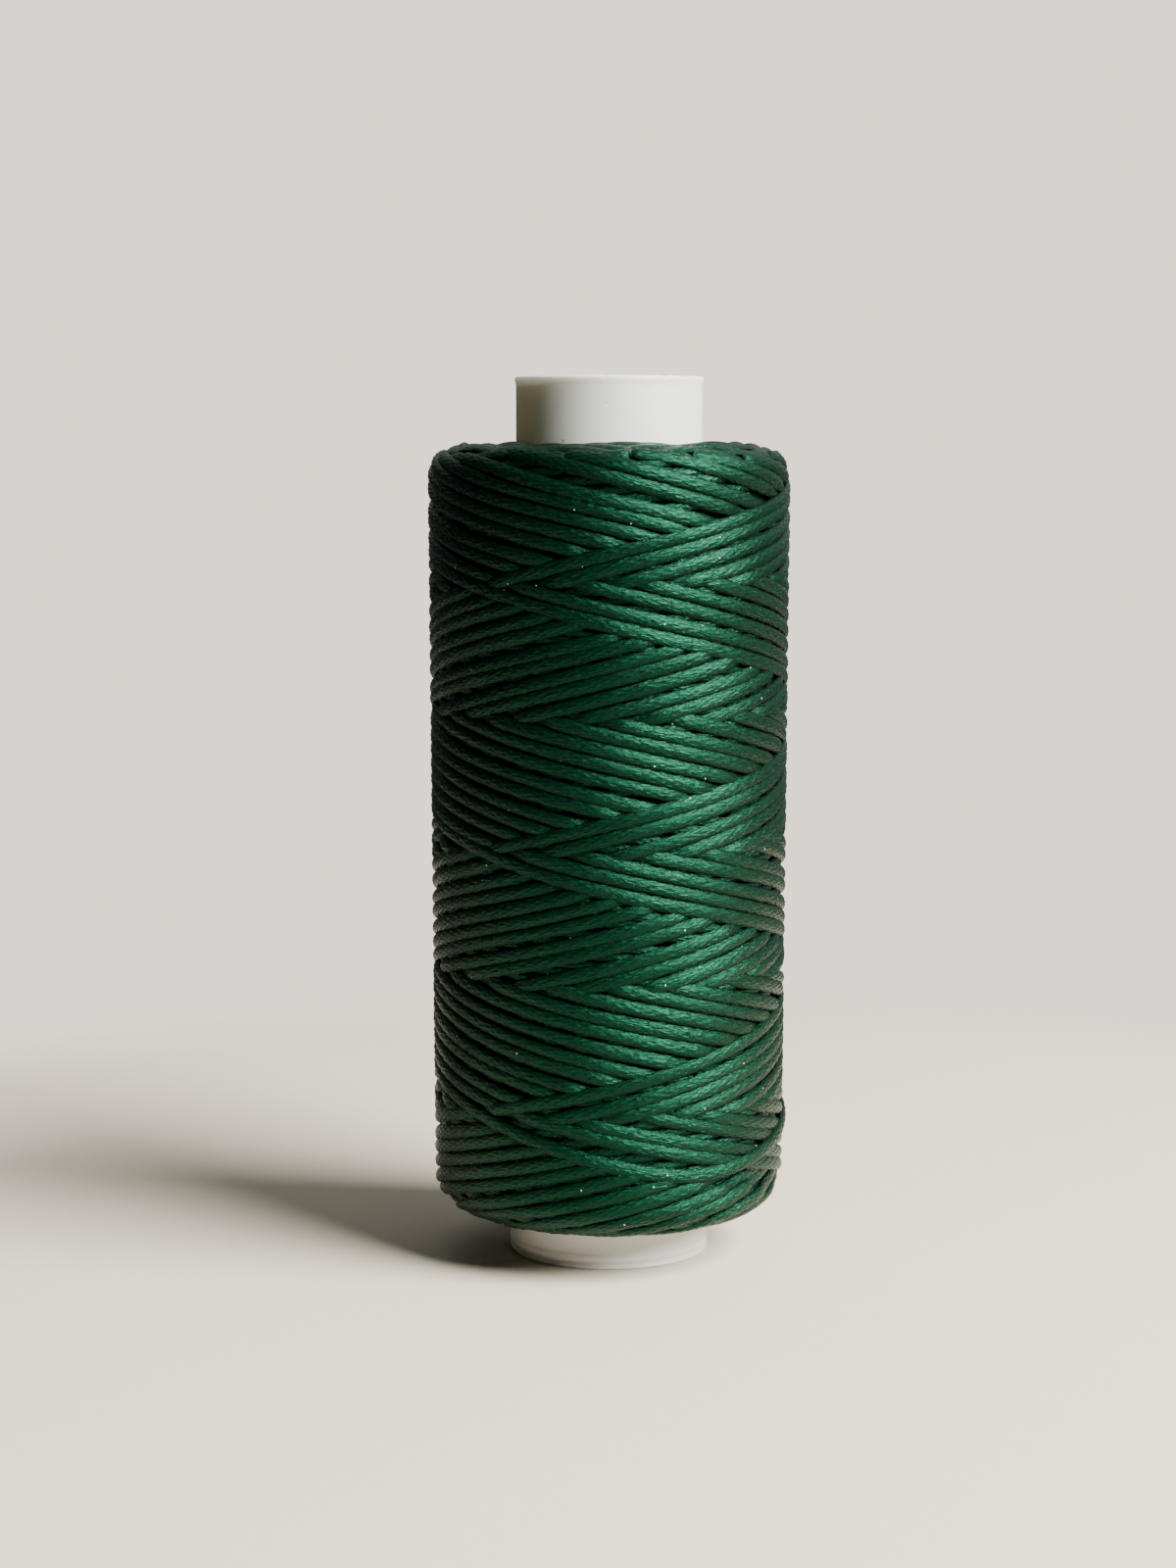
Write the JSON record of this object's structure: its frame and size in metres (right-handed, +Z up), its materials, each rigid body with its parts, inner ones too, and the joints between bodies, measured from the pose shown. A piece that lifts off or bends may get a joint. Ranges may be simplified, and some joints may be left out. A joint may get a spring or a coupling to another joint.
{
  "type": "spool of waxed thread",
  "caption": "Cross-wound package of dark green flat waxed thread on a white plastic tube with a flared, beaded foot; stands upright or hangs on a spool pin through its bore.",
  "frame": {"origin": "centre of the tube's foot, on the surface the spool stands on", "axes": "+Z up along the tube's axis, -Y towards the viewer of the front, +X to the viewer's right"},
  "size_m": [0.0329, 0.0331, 0.08],
  "materials": {
    "tube_plastic": "satin off-white, slightly translucent",
    "waxed_thread": "waxed polyester, satin sheen"
  },
  "bodies": {
    "root": {"core_tube": "tube_plastic", "thread_first_turns": "waxed_thread", "thread_inner_layers": "waxed_thread", "thread_outer_layers": "waxed_thread", "thread_last_pass": "waxed_thread"}
  },
  "joints": []
}
